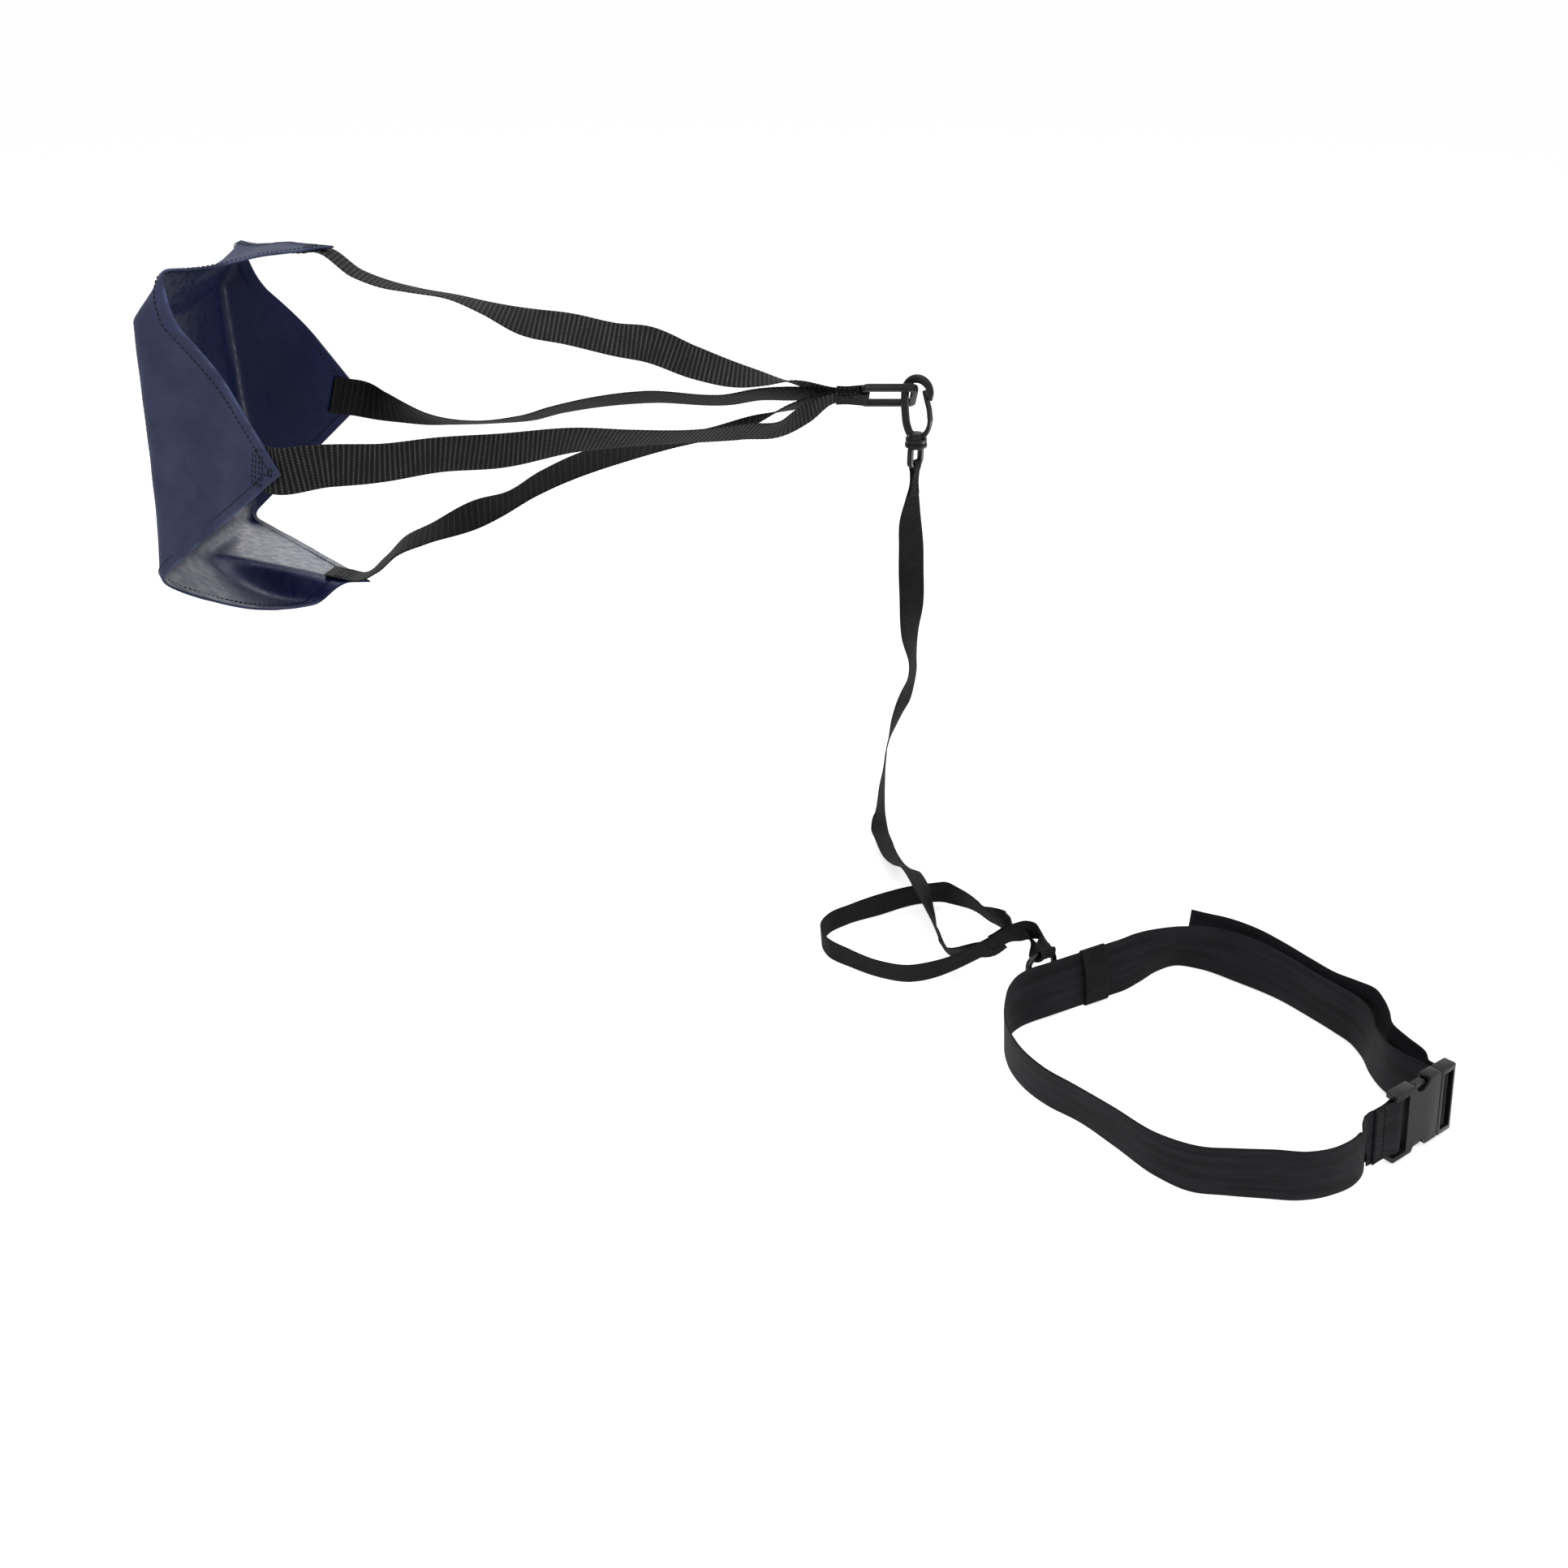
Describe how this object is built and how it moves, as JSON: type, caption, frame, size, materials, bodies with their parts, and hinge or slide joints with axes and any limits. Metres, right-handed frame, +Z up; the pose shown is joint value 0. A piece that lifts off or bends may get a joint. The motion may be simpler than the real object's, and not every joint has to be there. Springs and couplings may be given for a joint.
{
  "type": "swim parachute",
  "caption": "Square cloth drag canopy on webbing risers, with a swivel snap hook, tether strap, hand loop and buckled waist belt, for swimming against resistance.",
  "frame": {"origin": "middle of the belt's opening, level with the belt's lower edge, where the swimmer's waist is", "axes": "+Z up along the swimmer's waist, +X towards the buckle's end of the belt, -X towards the canopy, +Y away from the near wall of the belt"},
  "size_m": [1.079, 0.7496, 0.5947],
  "materials": {
    "cloth": "navy coated woven cloth, matt outside and glossy inside",
    "webbing": "black ribbed woven webbing",
    "belt": "black fine-woven belt webbing",
    "thread": "black sewing thread",
    "hardware": "black moulded plastic, satin",
    "glossy": "glossy black moulded plastic",
    "buckle": "dark grey moulded plastic, satin"
  },
  "bodies": {
    "belt": {"belt_strap": "belt", "belt_end_stitch": "thread", "buckle_socket": "buckle", "buckle_plug": "buckle", "d_ring_tab": "webbing", "tab_stitch": "thread", "hand_loop": "webbing", "join_stitch": "thread", "tether_strap": "webbing", "eye_stitch": "thread", "swivel_eye": "hardware"},
    "hook": {"snap_hook": "hardware"},
    "gate": {"hook_gate": "hardware"},
    "canopy": {"canopy": "cloth", "riser_front": "webbing", "riser_top": "webbing", "riser_back": "webbing", "riser_bottom": "webbing", "corner_stitch_front": "thread", "corner_stitch_top": "thread", "corner_stitch_back": "thread", "corner_stitch_bottom": "thread", "ring_loop": "webbing", "gather_stitch": "thread", "ring": "hardware"},
    "d_ring": {"d_ring": "glossy"},
    "keeper": {"keeper_band": "webbing"},
    "prong_upper": {"prong_upper": "buckle"},
    "prong_lower": {"prong_lower": "buckle"}
  },
  "joints": [
    {"name": "canopy_swivel", "type": "hinge", "parent": "belt", "child": "canopy", "pos_m": [-0.224, 0.385, 0.4165], "axis": [0, 0, 1], "continuous": true},
    {"name": "hook_turn", "type": "hinge", "parent": "canopy", "child": "hook", "pos_m": [-0.224, 0.385, 0.4165], "axis": [0, 0, 1], "range_deg": [-6, 20]},
    {"name": "gate_hinge", "type": "hinge", "parent": "hook", "child": "gate", "pos_m": [-0.21286, 0.3772, 0.4366], "axis": [-0.5736, -0.8191, 0], "range_deg": [0, 9], "stiffness_Nm_per_rad": 0.05, "springref_deg": -5.73},
    {"name": "d_ring_hinge", "type": "hinge", "parent": "belt", "child": "d_ring", "pos_m": [-0.11926, 0.08594, 0.03063], "axis": [-0.7991, -0.5989, 0.0535], "range_deg": [-4, 8]},
    {"name": "keeper_slide", "type": "slide", "parent": "belt", "child": "keeper", "axis": [0.8982, 0.4396, 0], "range_m": [-0.016, 0.016]},
    {"name": "prong_upper_hinge", "type": "hinge", "parent": "belt", "child": "prong_upper", "pos_m": [0.15639, -0.07054, 0.05251], "axis": [0.5415, -0.8243, 0.1651], "range_deg": [0, 7], "stiffness_Nm_per_rad": 0.3},
    {"name": "prong_lower_hinge", "type": "hinge", "parent": "belt", "child": "prong_lower", "pos_m": [0.16019, -0.07634, 0.01109], "axis": [-0.5415, 0.8243, -0.1651], "range_deg": [0, 7], "stiffness_Nm_per_rad": 0.3}
  ]
}
